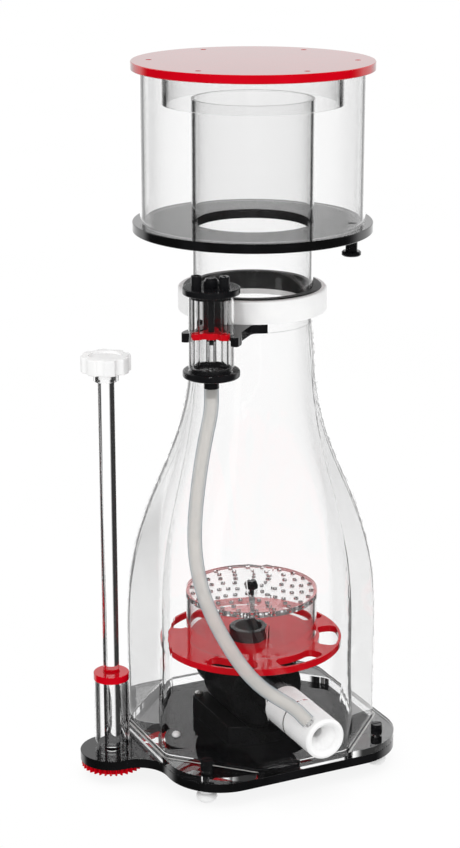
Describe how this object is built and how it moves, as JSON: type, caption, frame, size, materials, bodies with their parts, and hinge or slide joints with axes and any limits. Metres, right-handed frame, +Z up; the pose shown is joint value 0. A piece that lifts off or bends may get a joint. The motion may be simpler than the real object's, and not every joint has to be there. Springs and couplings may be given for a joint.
{
  "type": "protein skimmer",
  "caption": "Bottle-shaped clear protein skimmer with needle-wheel pump, bubble diffuser, lidded collection cup, air silencer and a geared outlet valve.",
  "frame": {"origin": "under the middle of the whole skimmer's outline in plan, at the level the feet stand on; the reaction body's vertical axis is at x 27.5 mm, y 19 mm", "axes": "+Z up; -Y is the side the venturi nozzle sticks out of; -X is the side of the outlet adjuster"},
  "size_m": [0.267, 0.25, 0.6085],
  "materials": {
    "clear_acrylic": "polished clear acrylic",
    "red_acrylic": "gloss red acrylic sheet",
    "black_acrylic": "gloss black acrylic sheet",
    "white_plastic": "satin turned white plastic",
    "black_rubber": "satin rubber",
    "clear_silicone": "clear silicone cord",
    "silicone_hose": "translucent silicone",
    "black_plastic": "satin moulded black plastic",
    "pump_black": "satin moulded black pump casing",
    "screw_steel": "dark coated screws",
    "shaft_ceramic": "polished white ceramic",
    "magnet_jacket": "overmoulded magnet"
  },
  "bodies": {
    "skimmer_body": {"feet": "white_plastic", "base_plate": "black_acrylic", "base_seal": "clear_silicone", "thumb_screws": "black_plastic", "body_flange": "clear_acrylic", "body_shell": "clear_acrylic", "neck_ring": "white_plastic", "neck_seal": "black_rubber", "guide_tube": "clear_acrylic", "guide_collar": "red_acrylic", "valve_pin": "white_plastic", "pump_volute": "pump_black", "volute_seal": "black_rubber", "motor_housing": "pump_black", "pump_screws": "screw_steel", "bearing_plate": "pump_black", "rear_bearing": "black_rubber", "pump_foot": "pump_black", "foot_screws": "screw_steel", "outlet_union": "black_plastic", "bubble_deck": "red_acrylic", "diffuser_wall": "clear_acrylic", "diffuser_sieve": "clear_acrylic", "diffuser_bolt": "black_plastic", "intake_adapter": "white_plastic", "venturi_nozzle": "white_plastic", "hose_barb": "clear_acrylic", "air_hose": "silicone_hose", "silencer_top_cap": "black_plastic", "silencer_cylinder": "clear_acrylic", "silencer_bottom_cap": "black_plastic", "air_tubes": "clear_acrylic", "outlet_tube": "clear_acrylic", "silencer_bracket": "black_plastic"},
    "collection_cup": {"cup_floor": "black_acrylic", "cup_tube": "clear_acrylic", "riser_tube": "clear_acrylic", "drain_fitting": "black_plastic"},
    "cup_lid": {"lid": "red_acrylic", "lid_collar": "clear_acrylic"},
    "drain_stopper": {"drain_cap": "black_plastic"},
    "adjuster": {"adjuster_rod": "clear_acrylic", "adjuster_hub": "clear_acrylic", "adjuster_knob": "white_plastic", "pinion_gear": "red_acrylic"},
    "outlet_valve": {"valve_disc": "red_acrylic"},
    "throttle_knob": {"throttle_screw": "black_plastic"},
    "throttle_slider": {"throttle_plate": "red_acrylic"},
    "rotor": {"impeller_shaft": "shaft_ceramic", "rotor_magnet": "magnet_jacket", "needle_wheel": "pump_black"}
  },
  "joints": [
    {"name": "cup_lift", "type": "slide", "parent": "skimmer_body", "child": "collection_cup", "axis": [0, 0, 1], "range_m": [0, 0.1]},
    {"name": "lid_lift", "type": "slide", "parent": "collection_cup", "child": "cup_lid", "axis": [0, 0, 1], "range_m": [0, 0.06]},
    {"name": "drain_cap_pull", "type": "slide", "parent": "collection_cup", "child": "drain_stopper", "axis": [0, 0, -1], "range_m": [0, 0.02]},
    {"name": "adjuster_turn", "type": "hinge", "parent": "skimmer_body", "child": "adjuster", "pos_m": [-0.1055, 0.021, 0.2], "axis": [0, 0, 1], "range_deg": [0, 207]},
    {"name": "valve_turn", "type": "hinge", "parent": "skimmer_body", "child": "outlet_valve", "pos_m": [-0.0455, 0.021, 0.011], "axis": [0, 0, 1], "range_deg": [-154, 0]},
    {"name": "throttle_turn", "type": "hinge", "parent": "skimmer_body", "child": "throttle_knob", "pos_m": [-0.04316, -0.0502, 0.44], "axis": [0, 0, 1], "range_deg": [-3610, 910]},
    {"name": "throttle_travel", "type": "slide", "parent": "skimmer_body", "child": "throttle_slider", "axis": [0, 0, 1], "range_m": [-0.002, 0.008]},
    {"name": "rotor_spin", "type": "hinge", "parent": "skimmer_body", "child": "rotor", "pos_m": [0.0255, 0.019, 0.066], "axis": [0, 1, 0], "continuous": true}
  ],
  "couplings": [
    {"joint": "valve_turn", "follows": "adjuster_turn", "ratio": -0.73913},
    {"joint": "throttle_turn", "follows": "throttle_travel", "rad_per_m": -7854}
  ]
}
